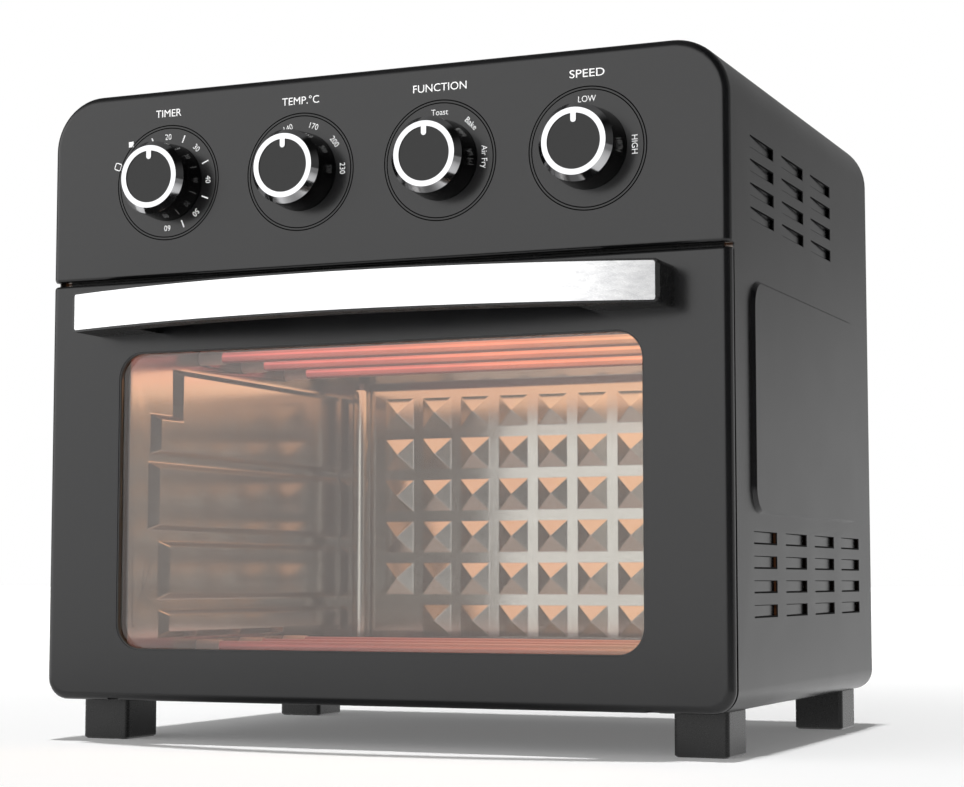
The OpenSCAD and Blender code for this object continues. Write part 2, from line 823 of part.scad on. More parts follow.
module door_frame() {
    front_wall = 2;
    rim = 3.5;
    hinge_bar = 11;
    notch_gap = 0.4;
    color("#3f4042")
    difference() {
        hull() door_corners();
        slab_y(-1, door_t + 1)
            rounded_rect(-window_w / 2, window_foot, window_w / 2, window_head, window_r);
        slab_y(front_wall, door_t + 1)
            rounded_rect(-half_w + rim, body_bottom + hinge_bar, half_w - rim, door_top - rim, 3);
        both_sides() {
            translate([0, hinge_y, hinge_z]) rod_x(pin_x[0], pin_x[1], pin_r);
            translate([0, hinge_y, hinge_z]) rod_x(ear_x[0] - 0.5, ear_x[1] + 0.5, ear_r + notch_gap);
            translate([ear_x[0] - 0.5, hinge_y - ear_r - notch_gap, body_bottom - 1])
                cube([ear_x[1] - ear_x[0] + 1, 10, hinge_z - body_bottom + 1]);
            translate([ear_x[0] - 0.5, hinge_y, body_bottom - 1])
                cube([ear_x[1] - ear_x[0] + 1, 10, hinge_z + ear_r + notch_gap - body_bottom + 1]);
        }
        handle_screw_places() rod_y(-1, front_wall + 1, handle_screw_r + 0.1);
    }
}

module door_glass() {
    color("#6a5a50", 0.4)
    slab_y(glass_y[0], glass_y[1])
        rounded_rect(-window_w / 2 - glass_lap, window_foot - glass_lap, window_w / 2 + glass_lap,
                     window_head + glass_lap, window_r + 3);
}

module door_inner_frame() {
    opening_lap = 1;
    color("#8f8c88")
    difference() {
        slab_y(door_t, door_t + inner_frame_t)
            rounded_rect(-half_w + 8, body_bottom + 7, half_w - 8, door_top - 6, 6);
        slab_y(door_t - 1, door_t + 3)
            rounded_rect(-window_w / 2 - opening_lap, window_foot - opening_lap,
                         window_w / 2 + opening_lap, window_head + opening_lap, window_r + 1);
    }
}

module door_seal() {
    outer = [163, cavity_floor_z - 2.6, cavity_top_z + 9, 10]; // half width, foot, head, corner radius
    inner = [157, cavity_floor_z + 0.4, cavity_top_z + 4, 7];
    color("#3a3a3c")
    difference() {
        slab_y(door_t + inner_frame_t, flange_y[0] - 0.3)
            rounded_rect(-outer[0], outer[1], outer[0], outer[2], outer[3]);
        slab_y(door_t, flange_y[0])
            rounded_rect(-inner[0], inner[1], inner[0], inner[2], inner[3]);
    }
}

// The handle's plan: a bowed bar with solid ends and a finger gap behind its middle
module bow(r) translate([0, bow_r - handle_out]) circle(r, $fn = 360);

// The handle's outline from the front, larger than the strip's by border above and below
module handle_plate(border, end, corner, back)
    slab_y(-handle_reach, back)
        rounded_rect(-end, handle_z - strip_h / 2 - border, end, handle_z + strip_h / 2 + border, corner);

module door_handle() {
    bar_t = 13;
    gap_hw = 128;
    gap_r = 8;
    color("#19191a")
    difference() {
        intersection() {
            handle_plate(handle_border, handle_end, handle_corner, 0);
            slab_z(0, body_top)
                difference() {
                    bow(bow_r - 0.4);
                    intersection() {
                        bow(bow_r - bar_t);
                        rounded_rect(-gap_hw, -handle_reach, gap_hw, gap_r * 3, gap_r);
                    }
                }
        }
        difference() {
            handle_plate(strip_gap, strip_w / 2 + strip_gap, strip_corner, -1);
            slab_z(0, body_top) bow(bow_r - strip_t);
        }
        handle_screw_places() rod_y(-16, 1, handle_screw_r + 0.02);
    }
}

module handle_trim() {
    color("#d9dadc")
    intersection() {
        handle_plate(0, strip_w / 2, strip_corner, -1);
        slab_z(handle_z - strip_h, handle_z + strip_h)
            difference() {
                bow(bow_r);
                bow(bow_r - strip_t);
            }
    }
}

module handle_screw_places() {
    for (side = [-1, 1]) translate([side * 150, 0, handle_z]) children();
}

module handle_screws() {
    head = [2.4, 3.8]; // thickness and radius of the head, behind the door's front wall
    color("#8d8d90")
    handle_screw_places() {
        rod_y(-14, 3, handle_screw_r);
        rod_y(2, 2 + head[0], head[1]);
    }
}

module door_hinge_pins() {
    color("#b8b8ba")
    both_sides() translate([0, hinge_y, hinge_z]) rod_x(pin_x[0], pin_x[1], pin_r);
}

module door_arm() {
    lug = [3, 1.5, 24]; // how far its lug stands out to each side, the lug's thickness and height
    color("#9a9a9d") {
        slab_x(arm_x[0], arm_x[1])
            translate([hinge_y, hinge_z])
                intersection() {
                    difference() {
                        circle(arm_r + arm_t / 2, $fn = 180);
                        circle(arm_r - arm_t / 2, $fn = 180);
                    }
                    polygon([[0, 0], [200 * sin(2), 200 * cos(2)], [200, 200],
                             [200 * sin(arm_reach), 200 * cos(arm_reach)]]);
                }
        translate([arm_x[0] - lug[0], door_t + inner_frame_t, hinge_z + arm_r - 14])
            cube([arm_x[1] - arm_x[0] + 2 * lug[0], lug[1], lug[2]]);
    }
}

module hinge_bracket() {
    plate_z = body_bottom + wrap_t + base_t;
    front = 16.8;
    heel = 23; // length of the bracket on the base plate, and of its upper edge
    brow = 17;
    flange = [18, 26, 1.2]; // front, length and thickness of its bolted flange
    color("#9a9a9d")
    difference() {
        union() {
            translate([0, hinge_y, hinge_z]) rod_x(ear_x[0], ear_x[1], ear_r);
            slab_x(ear_x[0], ear_x[1])
                polygon([[hinge_y, hinge_z - ear_r], [front, hinge_z - ear_r], [front, plate_z],
                         [front + heel, plate_z], [front + brow, hinge_z + ear_r],
                         [hinge_y, hinge_z + ear_r]]);
            translate([ear_x[0] - 6, flange[0], plate_z])
                cube([ear_x[1] - ear_x[0] + 12, flange[1], flange[2]]);
        }
        translate([0, hinge_y, hinge_z]) rod_x(ear_x[0] - 1, ear_x[1] + 1, pin_r + pin_gap);
    }
}

from_front() outer_wrap();
from_front() base_plate();
from_front() back_panel();
from_front() front_frame();
from_front() control_panel();
from_front() cavity_left_wall();
from_front() cavity_right_wall();
from_front() cavity_ceiling();
from_front() cavity_floor();
from_front() cavity_back_wall();
from_front() cavity_corner_posts();
from_front() heater(heater_ys[0], upper_heater_z);  // upper_heater_front
from_front() heater(heater_ys[1], upper_heater_z);  // upper_heater_middle
from_front() heater(heater_ys[2], upper_heater_z);  // upper_heater_rear
from_front() heater(heater_ys[0], lower_heater_z);  // lower_heater_front
from_front() heater(heater_ys[1], lower_heater_z);  // lower_heater_middle
from_front() heater(heater_ys[2], lower_heater_z);  // lower_heater_rear
from_front() heater_insulators();
from_front() crumb_tray();
from_front() fan_housing();
from_front() fan_motor();
from_front() fan_impeller();
from_front() fan_shaft();
from_front() timer_unit();
from_front() timer_bell();
from_front() thermostat();
from_front() function_switch();
from_front() speed_switch();
from_front() control_nuts();
from_front() knob(dial_xs[0]);  // timer_knob
from_front() knob_ring(dial_xs[0]);  // timer_knob_ring
from_front() knob_shaft(dial_xs[0]);  // timer_shaft
from_front() knob(dial_xs[1]);  // temperature_knob
from_front() knob_ring(dial_xs[1]);  // temperature_knob_ring
from_front() knob_shaft(dial_xs[1]);  // temperature_shaft
from_front() knob(dial_xs[2]);  // function_knob
from_front() knob_ring(dial_xs[2]);  // function_knob_ring
from_front() knob_shaft(dial_xs[2]);  // function_shaft
from_front() knob(dial_xs[3]);  // speed_knob
from_front() knob_ring(dial_xs[3]);  // speed_knob_ring
from_front() knob_shaft(dial_xs[3]);  // speed_shaft
from_front() door_frame();
from_front() door_glass();
from_front() door_inner_frame();
from_front() door_seal();
from_front() door_handle();
from_front() handle_trim();
from_front() handle_screws();
from_front() door_hinge_pins();
from_front() mirror([1, 0, 0]) door_arm();  // door_arm_left
from_front() door_arm();  // door_arm_right
from_front() mirror([1, 0, 0]) hinge_bracket();  // hinge_bracket_left
from_front() hinge_bracket();  // hinge_bracket_right
from_front() foot(-1, foot_front_y);  // foot_front_left
from_front() foot(1, foot_front_y);  // foot_front_right
from_front() foot(-1, foot_rear_y);  // foot_rear_left
from_front() foot(1, foot_rear_y);  // foot_rear_right
from_front() foot_screws();
from_front() case_screws();
from_front() cord_gland();
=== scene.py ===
"""The looks of the toaster oven: camera, studio, materials, rounded edges, dial scales and trim.

The frame is in metres. mm() turns a length in millimetres into metres.
"""

import json
import math
from itertools import product

import bmesh
import bpy
from mathutils import Matrix, Vector


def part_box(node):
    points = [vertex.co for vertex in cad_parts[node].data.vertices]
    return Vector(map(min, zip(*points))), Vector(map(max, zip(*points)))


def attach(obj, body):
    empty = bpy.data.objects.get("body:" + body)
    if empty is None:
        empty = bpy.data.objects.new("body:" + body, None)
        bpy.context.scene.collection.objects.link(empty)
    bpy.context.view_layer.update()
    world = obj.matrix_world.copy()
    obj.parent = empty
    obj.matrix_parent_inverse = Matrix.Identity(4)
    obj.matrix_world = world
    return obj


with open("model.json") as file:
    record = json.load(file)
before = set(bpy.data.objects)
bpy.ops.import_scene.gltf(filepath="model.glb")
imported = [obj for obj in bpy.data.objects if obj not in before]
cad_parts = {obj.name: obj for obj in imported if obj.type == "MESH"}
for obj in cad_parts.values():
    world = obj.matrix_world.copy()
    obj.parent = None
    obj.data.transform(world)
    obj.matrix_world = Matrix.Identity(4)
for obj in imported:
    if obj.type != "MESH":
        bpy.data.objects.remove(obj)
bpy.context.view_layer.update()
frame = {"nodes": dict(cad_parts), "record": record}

NODES = frame["nodes"]


def mm(length):
    return length * 0.001


# ---------------------------------------------------------------- shader nodes
NOISE_SPAN = (0.3, 0.7)  # the part of 0 to 1 that a noise texture mostly stays in


def new_tree(owner):
    """The nodes and links of a material or world."""
    owner.use_nodes = True
    return owner.node_tree.nodes, owner.node_tree.links


def ramp(nodes, links, value, stops, interpolation="LINEAR"):
    """The colour of a value by a ramp whose stops are (place, grey) or (place, colour)."""
    node = nodes.new("ShaderNodeValToRGB")
    node.color_ramp.interpolation = interpolation
    elements = node.color_ramp.elements
    while len(elements) < len(stops):
        elements.new(0.5)
    for element, (place, colour) in zip(elements, stops):
        element.position = place
        element.color = (*colour, 1) if isinstance(colour, tuple) else (colour, colour, colour, 1)
    links.new(value, node.inputs[0])
    return node.outputs["Color"]


def map_range(nodes, links, value, source, target=(0, 1)):
    """A value, mapped from the source range to the target range."""
    node = nodes.new("ShaderNodeMapRange")
    for name, limit in zip(("From Min", "From Max", "To Min", "To Max"), (*source, *target)):
        node.inputs[name].default_value = limit
    links.new(value, node.inputs["Value"])
    return node.outputs["Result"]


def calculate(nodes, links, kind, operation, *values):
    """The first output of a Math or VectorMath node, whose inputs are numbers or other outputs."""
    node = nodes.new(f"ShaderNode{kind}")
    node.operation = operation
    for socket, value in zip(node.inputs, values):
        if isinstance(value, (int, float)):
            socket.default_value = value
        else:
            links.new(value, socket)
    return node.outputs[0]


def split(nodes, links, vector):
    """The X, Y and Z of a vector."""
    node = nodes.new("ShaderNodeSeparateXYZ")
    links.new(vector, node.inputs[0])
    return node.outputs


def choose_by_ray(nodes, links, ray, usual, special, output):
    """Shows the special shader to one kind of ray, and the usual one to every other kind."""
    path = nodes.new("ShaderNodeLightPath")
    either = nodes.new("ShaderNodeMixShader")
    links.new(path.outputs[f"Is {ray} Ray"], either.inputs["Fac"])
    links.new(usual.outputs[0], either.inputs[1])
    links.new(special.outputs[0], either.inputs[2])
    links.new(either.outputs[0], output.inputs["Surface"])


# ---------------------------------------------------------------- camera, light and floor
CAMERA_PLACE = (0.5101, -1.1658, 0.0885)
CAMERA_TURN = (94.903, 0.0, 23.092)
CAMERA_LENS = 81.77
SENSOR_WIDTH = 36.0
CAMERA_CLIP = (0.05, 60)


def make_camera():
    data = bpy.data.cameras.new("camera")
    data.lens = CAMERA_LENS
    data.sensor_width = SENSOR_WIDTH
    data.clip_start, data.clip_end = CAMERA_CLIP
    camera = bpy.data.objects.new("camera", data)
    camera.location = CAMERA_PLACE
    camera.rotation_euler = [math.radians(angle) for angle in CAMERA_TURN]
    bpy.context.scene.collection.objects.link(camera)
    bpy.context.scene.camera = camera


# The studio is two soft glows round the oven, a bright one at the front left and a dim one behind.
# Each gives its brightness by compass direction, from straight behind (-180) over the left (-90),
# the front (0) and the right (90) to behind again, and by height, from down (-90) to up (90).
FRONT_GLOW = {"round": [(-92, 0), (-80, 1), (6, 1), (24, 0.03), (88, 0.03), (92, 0)],
              "height": [(-90, 0.5), (-8, 0.80), (2, 0.85), (9, 1), (20, 1), (44, 0.11),
                         (90, 0.05)]}
REAR_GLOW = {"round": [(-180, 1), (-112, 0.8), (-92, 0.04), (-91, 0), (90, 0), (91, 0.04), (106, 1),
                       (180, 1)],
             "height": [(-90, 0.26), (0, 0.34), (4, 0.31), (9, 0.16), (24, 0.12), (60, 0.07),
                        (90, 0.045)]}
STUDIO_STRENGTH = 2.0


def scaled_stops(stops, limit):
    """Ramp stops whose places are degrees from -limit to limit, scaled to 0 to 1."""
    return [((angle + limit) / (2 * limit), grey) for angle, grey in stops]


def centred(nodes, links, value, limit):
    """A value from -limit to limit, scaled to 0 to 1."""
    return map_range(nodes, links, value, (-limit, limit))


def glow(nodes, links, directions, stops):
    """The brightness of one glow, from the scaled compass direction and height."""
    ramps = [ramp(nodes, links, directions[key], scaled_stops(stops[key], limit))
             for key, limit in (("round", 180), ("height", 90))]
    return calculate(nodes, links, "VectorMath", "MULTIPLY", *ramps)


def compass(nodes, links, parts):
    """The scaled compass direction of a split vector: 0.5 is the front, 0.75 the right."""
    forward = calculate(nodes, links, "Math", "MULTIPLY", parts["Y"], -1)
    azimuth = calculate(nodes, links, "Math", "ARCTAN2", parts["X"], forward)
    return centred(nodes, links, azimuth, math.pi)


def make_studio():
    """The two glows as a surrounding that lights the oven, behind a plain white backdrop."""
    world = bpy.data.worlds.new("studio")
    bpy.context.scene.world = world
    nodes, links = new_tree(world)
    nodes.clear()
    parts = split(nodes, links, nodes.new("ShaderNodeTexCoord").outputs["Generated"])
    height = calculate(nodes, links, "Math", "ARCSINE", parts["Z"])
    directions = {"round": compass(nodes, links, parts),
                  "height": centred(nodes, links, height, math.pi / 2)}
    total = calculate(nodes, links, "VectorMath", "ADD", glow(nodes, links, directions, FRONT_GLOW),
                      glow(nodes, links, directions, REAR_GLOW))
    studio = nodes.new("ShaderNodeBackground")
    studio.inputs["Strength"].default_value = STUDIO_STRENGTH
    links.new(total, studio.inputs["Color"])
    backdrop = nodes.new("ShaderNodeBackground")
    backdrop.inputs["Color"].default_value = (1, 1, 1, 1)
    choose_by_ray(nodes, links, "Camera", studio, backdrop, nodes.new("ShaderNodeOutputWorld"))


def make_light(name, kind, place, aim, energy, colour=(1, 1, 1), size=None, glossy=True):
    data = bpy.data.lights.new(name, kind)
    data.energy = energy
    data.color = colour
    if kind == "SUN":
        data.angle = math.radians(size)
    elif kind == "AREA":
        data.shape = "RECTANGLE"
        data.size, data.size_y = size
    light = bpy.data.objects.new(name, data)
    light.location = place
    light.rotation_euler = (Vector(aim) - Vector(place)).to_track_quat("-Z", "Y").to_euler()
    light.visible_camera = False
    light.visible_glossy = glossy
    light.visible_transmission = False
    bpy.context.scene.collection.objects.link(light)


# The overhead lamp: its place, its aim, its power in W/m2, and its width in degrees
SUN_PLACE = (0, -0.16, 2)
SUN_AIM = (0, 0, 0)
SUN_POWER = 2.15
SUN_WIDTH = 2.5
# The warm light of the tubes inside the oven: the left, right, front and rear of each lamp as
# shares of the cavity, whether it shines down from the upper tubes, its colour and its watts
OVEN_GLOWS = [
    ("glow_upper_left", (0.04, 0.40, 0.30, 0.97), True, (1.0, 0.56, 0.34), 0.105),
    ("glow_upper_middle", (0.40, 0.68, 0.30, 0.97), True, (1.0, 0.57, 0.33), 0.085),
    ("glow_upper_end", (0.68, 0.96, 0.30, 0.97), True, (1.0, 0.56, 0.32), 0.11),
    ("glow_upper_right", (0.50, 0.97, 0.62, 0.97), True, (1.0, 0.76, 0.28), 0.12),
    ("glow_lower", (0.04, 0.96, 0.15, 0.95), False, (1.0, 0.82, 0.72), 0.09),
    ("glow_floor", (0.04, 0.96, 0.25, 0.80), False, (1.0, 0.30, 0.22), 0.03),
]
GLOW_GAP = mm(2)  # between a lamp and the tubes


def make_lights():
    make_light("overhead", "SUN", SUN_PLACE, SUN_AIM, SUN_POWER, size=SUN_WIDTH, glossy=False)
    floor_low, floor_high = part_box("cavity_floor")
    below_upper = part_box("upper_heater_front")[0][2] - GLOW_GAP
    above_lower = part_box("lower_heater_front")[1][2] + GLOW_GAP
    for name, (left, right, front, rear), down, colour, power in OVEN_GLOWS:
        xs = [floor_low[0] + share * (floor_high[0] - floor_low[0]) for share in (left, right)]
        ys = [floor_low[1] + share * (floor_high[1] - floor_low[1]) for share in (front, rear)]
        z = below_upper if down else above_lower
        middle = Vector((sum(xs) / 2, sum(ys) / 2, z))
        aim = middle + Vector((0, 0, -1 if down else 1))
        make_light(name, "AREA", middle, aim, power, colour, (xs[1] - xs[0], ys[1] - ys[0]))


FLOOR_SIDE = 30  # half of its width, in metres
FLOOR_GREY = 0.86
FLOOR_SPAN = (0.45, 1.6)  # how near and how far in metres the floor changes
FLOOR_GLOW = (0.145, 0.4)  # how much it is whitened there, as by a lit backdrop
# The floor that the paint mirrors: how bright it is by compass direction where it is far off, and
# by distance in metres where it is near, since the oven shades the part below it
MIRRORED_ROUND = [(-180, 0.40), (-110, 0.35), (-85, 0.80), (6, 0.80), (34, 0.13), (90, 0.13),
                  (112, 0.35), (180, 0.35)]
MIRRORED_NEAR = [(0.16, 0.08), (0.25, 0.44)]


def floor_material():
    """Pale and plain to the camera, and to the paint a floor brighter at the front and the left."""
    material, nodes, links, shader = new_material("pale_floor")
    shader.inputs["Base Color"].default_value = (FLOOR_GREY, FLOOR_GREY, FLOOR_GREY, 1)
    shader.inputs["Roughness"].default_value = 1
    shader.inputs["Specular IOR Level"].default_value = 0
    shader.inputs["Emission Color"].default_value = (1, 1, 1, 1)
    place = nodes.new("ShaderNodeTexCoord").outputs["Object"]
    length = nodes.new("ShaderNodeVectorMath")
    length.operation = "LENGTH"
    links.new(place, length.inputs[0])
    distance = length.outputs["Value"]
    links.new(map_range(nodes, links, distance, FLOOR_SPAN, FLOOR_GLOW),
              shader.inputs["Emission Strength"])
    direction = compass(nodes, links, split(nodes, links, place))
    blend = nodes.new("ShaderNodeMix")
    blend.data_type = "RGBA"
    links.new(ramp(nodes, links, distance, MIRRORED_NEAR), blend.inputs["A"])
    links.new(ramp(nodes, links, direction, scaled_stops(MIRRORED_ROUND, 180)), blend.inputs["B"])
    links.new(map_range(nodes, links, distance, FLOOR_SPAN), blend.inputs["Factor"])
    mirrored = nodes.new("ShaderNodeEmission")
    mirrored.inputs["Strength"].default_value = STUDIO_STRENGTH
    links.new(blend.outputs["Result"], mirrored.inputs["Color"])
    choose_by_ray(nodes, links, "Glossy", shader, mirrored, nodes["Material Output"])
    return material


def make_floor():
    data = bpy.data.meshes.new("floor")
    corners = [(x * FLOOR_SIDE, y * FLOOR_SIDE, 0) for x, y in ((-1, -1), (1, -1), (1, 1), (-1, 1))]
    data.from_pydata(corners, [], [(0, 1, 2, 3)])
    data.materials.append(floor_material())
    floor = bpy.data.objects.new("floor", data)
    bpy.context.scene.collection.objects.link(floor)


# ---------------------------------------------------------------- materials
def new_material(name):
    material = bpy.data.materials.new(name)
    nodes, links = new_tree(material)
    return material, nodes, links, nodes["Principled BSDF"]


def place_vector(nodes, links, stretch):
    """The object's own coordinates, stretched along each axis."""
    coordinates = nodes.new("ShaderNodeTexCoord")
    mapping = nodes.new("ShaderNodeMapping")
    mapping.inputs["Scale"].default_value = stretch
    links.new(coordinates.outputs["Object"], mapping.inputs["Vector"])
    return mapping.outputs["Vector"]


def noise(nodes, links, size_mm, stretch=(1, 1, 1), detail=2.0, roughness=0.5):
    """Noise whose blotches are about size_mm across."""
    texture = nodes.new("ShaderNodeTexNoise")
    texture.inputs["Scale"].default_value = 1 / mm(size_mm)
    texture.inputs["Detail"].default_value = detail
    texture.inputs["Roughness"].default_value = roughness
    links.new(place_vector(nodes, links, stretch), texture.inputs["Vector"])
    return texture.outputs["Fac"]


def spread(nodes, links, noisy, low, high):
    """A noise, spread from low to high."""
    return map_range(nodes, links, noisy, NOISE_SPAN, (low, high))


def shade(nodes, links, value, dark, light):
    """A colour between dark and light."""
    mixed = nodes.new("ShaderNodeMix")
    mixed.data_type = "RGBA"
    mixed.inputs["A"].default_value = (*dark, 1)
    mixed.inputs["B"].default_value = (*light, 1)
    links.new(spread(nodes, links, value, 0, 1), mixed.inputs["Factor"])
    return mixed.outputs["Result"]


def bump(nodes, links, shader, height, depth_mm):
    """Hollows and rises depth_mm deep in a shader's surface."""
    node = nodes.new("ShaderNodeBump")
    node.inputs["Distance"].default_value = mm(depth_mm)
    node.inputs["Strength"].default_value = 1
    links.new(height, node.inputs["Height"])
    links.new(node.outputs["Normal"], shader.inputs["Normal"])


def surface(name, dark, light, rough, grain=(0.4, 0.002), patch=35, metal=0.0, stretch=(1, 1, 1),
            ior=1.5, painted_warm_glow=None):
    """A material with blotches from dark to light, roughness from rough[0] to rough[1], and grain.

    patch is the blotches' width and grain the grain's size and depth, in mm. The glow, if given,
    is painted warm light of the surface's own, which stands in for light that falls on it.
    """
    material, nodes, links, shader = new_material(name)
    shader.inputs["Metallic"].default_value = metal
    shader.inputs["IOR"].default_value = ior
    # a painted warm glow, standing in for light that falls on the surface
    if painted_warm_glow:
        shader.inputs["Emission Color"].default_value = (*painted_warm_glow, 1)
        shader.inputs["Emission Strength"].default_value = 1
    blotches = noise(nodes, links, patch)
    links.new(shade(nodes, links, blotches, dark, light), shader.inputs["Base Color"])
    grains = noise(nodes, links, grain[0], stretch, detail=3)
    halves = [spread(nodes, links, noisy, rough[0] / 2, rough[1] / 2)
              for noisy in (blotches, grains)]
    links.new(calculate(nodes, links, "Math", "ADD", *halves), shader.inputs["Roughness"])
    bump(nodes, links, shader, grains, grain[1])
    return material


def glass_material():
    """Clear glass that lets lamps through, as a thin pane does."""
    material, nodes, links, shader = new_material("door_pane")
    shader.inputs["Base Color"].default_value = (0.93, 0.95, 0.94, 1)
    shader.inputs["Transmission Weight"].default_value = 1
    shader.inputs["Roughness"].default_value = 0.0
    shader.inputs["IOR"].default_value = 1.5
    clear = nodes.new("ShaderNodeBsdfTransparent")
    clear.inputs["Color"].default_value = (0.9, 0.92, 0.91, 1)
    choose_by_ray(nodes, links, "Shadow", shader, clear, nodes["Material Output"])
    return material


# The tubes' colour from their left end to their right, orange to the right as painted highlight,
# and their brightness by how a face is turned: painted highlight up and to the front and painted
# shade below, by the sum of its up and TUBE_FRONT of its front
TUBE_COLOURS = [(0.0, (0.52, 0.13, 0.12)), (0.25, (0.76, 0.17, 0.13)), (0.6, (1.0, 0.28, 0.15)),
                (1.0, (1.0, 0.48, 0.22))]
TUBE_FRONT = 0.8
TUBE_TURN_LIMIT = 1.3
TUBE_SHEEN_AND_SHADE = [(0.0, 0.05), (0.40, 0.08), (0.54, 0.40), (0.78, 0.50), (0.90, 1.0), (1.0, 0.6)]
TUBE_STRENGTH = (0.45, 1.3)  # of the lower and the upper tubes


def heater_material():
    """A glowing tube: pink-red at its left, orange at its right as painted highlight, painted shade
    below.
    """
    material, nodes, links, shader = new_material("glowing_tube")
    shader.inputs["Roughness"].default_value = 0.3
    shader.inputs["Base Color"].default_value = (0.16, 0.06, 0.05, 1)
    shader.inputs["IOR"].default_value = 1.25
    coordinates = nodes.new("ShaderNodeTexCoord")
    place = split(nodes, links, coordinates.outputs["Object"])
    facing = split(nodes, links, coordinates.outputs["Normal"])
    right_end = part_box("upper_heater_front")[1][0]
    # the orange towards the right end is painted highlight
    along = centred(nodes, links, place["X"], right_end)
    colours = ramp(nodes, links, along, TUBE_COLOURS, "EASE")
    # painted highlight on faces turned up and to the front, painted shade on those below
    upturn = calculate(nodes, links, "Math", "MULTIPLY_ADD", facing["Y"], -TUBE_FRONT, facing["Z"])
    turned = centred(nodes, links, upturn, TUBE_TURN_LIMIT)
    sheen_and_shade = ramp(nodes, links, turned, TUBE_SHEEN_AND_SHADE, "EASE")
    patches = spread(nodes, links, noise(nodes, links, 40, (1, 0.2, 0.2)), 0.85, 1.0)
    glowing = calculate(nodes, links, "VectorMath", "MULTIPLY", colours, sheen_and_shade)
    uneven = calculate(nodes, links, "VectorMath", "MULTIPLY", glowing, patches)
    links.new(uneven, shader.inputs["Emission Color"])
    heights = (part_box("lower_heater_front")[1][2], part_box("upper_heater_front")[0][2])
    links.new(map_range(nodes, links, place["Z"], heights, TUBE_STRENGTH),
              shader.inputs["Emission Strength"])
    return material


def brushed_material():
    """Brushed steel: fine scratches along X over slow changes of shade."""
    material, nodes, links, shader = new_material("brushed_steel_strip")
    shader.inputs["Metallic"].default_value = 1
    scratches = noise(nodes, links, 0.35, (0.02, 1, 1), detail=4, roughness=0.7)
    streaks = noise(nodes, links, 2.4, (0.05, 1, 1), detail=3, roughness=0.6)
    links.new(shade(nodes, links, streaks, (0.70, 0.70, 0.71), (0.90, 0.90, 0.90)),
              shader.inputs["Base Color"])
    links.new(spread(nodes, links, scratches, 0.22, 0.42), shader.inputs["Roughness"])
    bump(nodes, links, shader, scratches, 0.004)
    return material


def print_material(name, grey, ior, strength):
    """Matt ink on the panel, and matt black as painted shade on the casing, with a little white
    light of its own.
    """
    material, nodes, links, shader = new_material(name)
    shader.inputs["IOR"].default_value = ior
    shader.inputs["Base Color"].default_value = (grey, grey, grey, 1)
    shader.inputs["Emission Color"].default_value = (1, 1, 1, 1)
    shader.inputs["Emission Strength"].default_value = strength
    links.new(spread(nodes, links, noise(nodes, links, 0.5), 0.55, 0.7), shader.inputs["Roughness"])
    return material


# The material of each slot of the record
MATERIALS = {
    "casing_black": surface("satin_black_casing", (0.0045, 0.0045, 0.005), (0.006, 0.006, 0.0065),
                            (0.22, 0.27), grain=(0.7, 0.0008)),
    "front_grey": surface("satin_black_front", (0.0045, 0.0045, 0.005), (0.006, 0.006, 0.0065),
                          (0.20, 0.25), grain=(0.7, 0.0008)),
    # The cavity's steel has a painted warm glow, which stands in for the tubes' orange light on its
    # walls.
    "cavity_steel": surface("satin_cavity_steel", (0.37, 0.345, 0.315), (0.40, 0.37, 0.34),
                            (0.14, 0.18), grain=(1.2, 0.0001), patch=60, metal=1.0,
                            stretch=(1, 0.15, 1), painted_warm_glow=(0.018, 0.007, 0.003)),
    "heating_tube": heater_material(),
    # The insulators' ceramic is pink-grey: its pink is painted red light from the glowing tubes.
    "ceramic": surface("ceramic_painted_red_light", (0.50, 0.34, 0.30), (0.56, 0.38, 0.33), (0.5, 0.65),
                       grain=(0.5, 0.01)),
    "plated_steel": surface("zinc_plate", (0.50, 0.50, 0.52), (0.66, 0.66, 0.68), (0.25, 0.4),
                            metal=1.0, patch=6),
    "motor_metal": surface("motor_core", (0.20, 0.18, 0.16), (0.30, 0.28, 0.25), (0.4, 0.6),
                           metal=1.0, patch=5, grain=(0.6, 0.03), stretch=(0.2, 0.2, 1)),
    "fan_aluminium": surface("plain_aluminium", (0.68, 0.68, 0.68), (0.78, 0.78, 0.78), (0.3, 0.45),
                             metal=1.0, patch=12),
    "control_body": surface("phenolic_body", (0.30, 0.22, 0.12), (0.38, 0.29, 0.17), (0.4, 0.55),
                            patch=8),
    "knob_black": surface("gloss_black_knob", (0.002, 0.002, 0.002), (0.003, 0.003, 0.003),
                          (0.14, 0.20), grain=(0.8, 0.0006), patch=12, ior=1.40),
    "knob_chrome": surface("bright_chrome", (0.56, 0.56, 0.57), (0.60, 0.60, 0.61), (0.07, 0.12),
                           grain=(0.8, 0.0004), metal=1.0, patch=10),
    "brass": surface("turned_brass", (0.60, 0.44, 0.20), (0.72, 0.55, 0.27), (0.22, 0.36),
                     metal=1.0, patch=5),
    "glass": glass_material(),
    "seal_rubber": surface("silicone_seal", (0.035, 0.035, 0.036), (0.05, 0.05, 0.05), (0.55, 0.7),
                           grain=(0.5, 0.01)),
    "black_plastic": surface("satin_black_plastic", (0.005, 0.005, 0.005), (0.007, 0.007, 0.007),
                             (0.24, 0.30), grain=(0.8, 0.0004), patch=18, ior=1.45),
    "brushed_strip": brushed_material(),
    "white_print": print_material("white_ink", 0.95, 1.5, 0.25),
    # Black ink for the dial circles, and painted shade at the louvres' edges
    "black_print": print_material("black_ink_and_shade", 0.002, 1.1, 0),
}


def finish_of(obj, slot):
    """Gives a piece the material of a slot."""
    obj.data.materials.clear()
    obj.data.materials.append(MATERIALS[slot])


def finish_cad_nodes():
    for subpart in frame["record"]["subparts"]:
        finish_of(NODES[subpart["node"]], subpart["material_slot"])


# ---------------------------------------------------------------- rounded edges
DIALS = ["timer", "temperature", "function", "speed"]
WELD_REACH = mm(0.002)
BEVEL_STEPS = 2
NORMAL_WEIGHT = 60
SHARP_ANGLE = 28
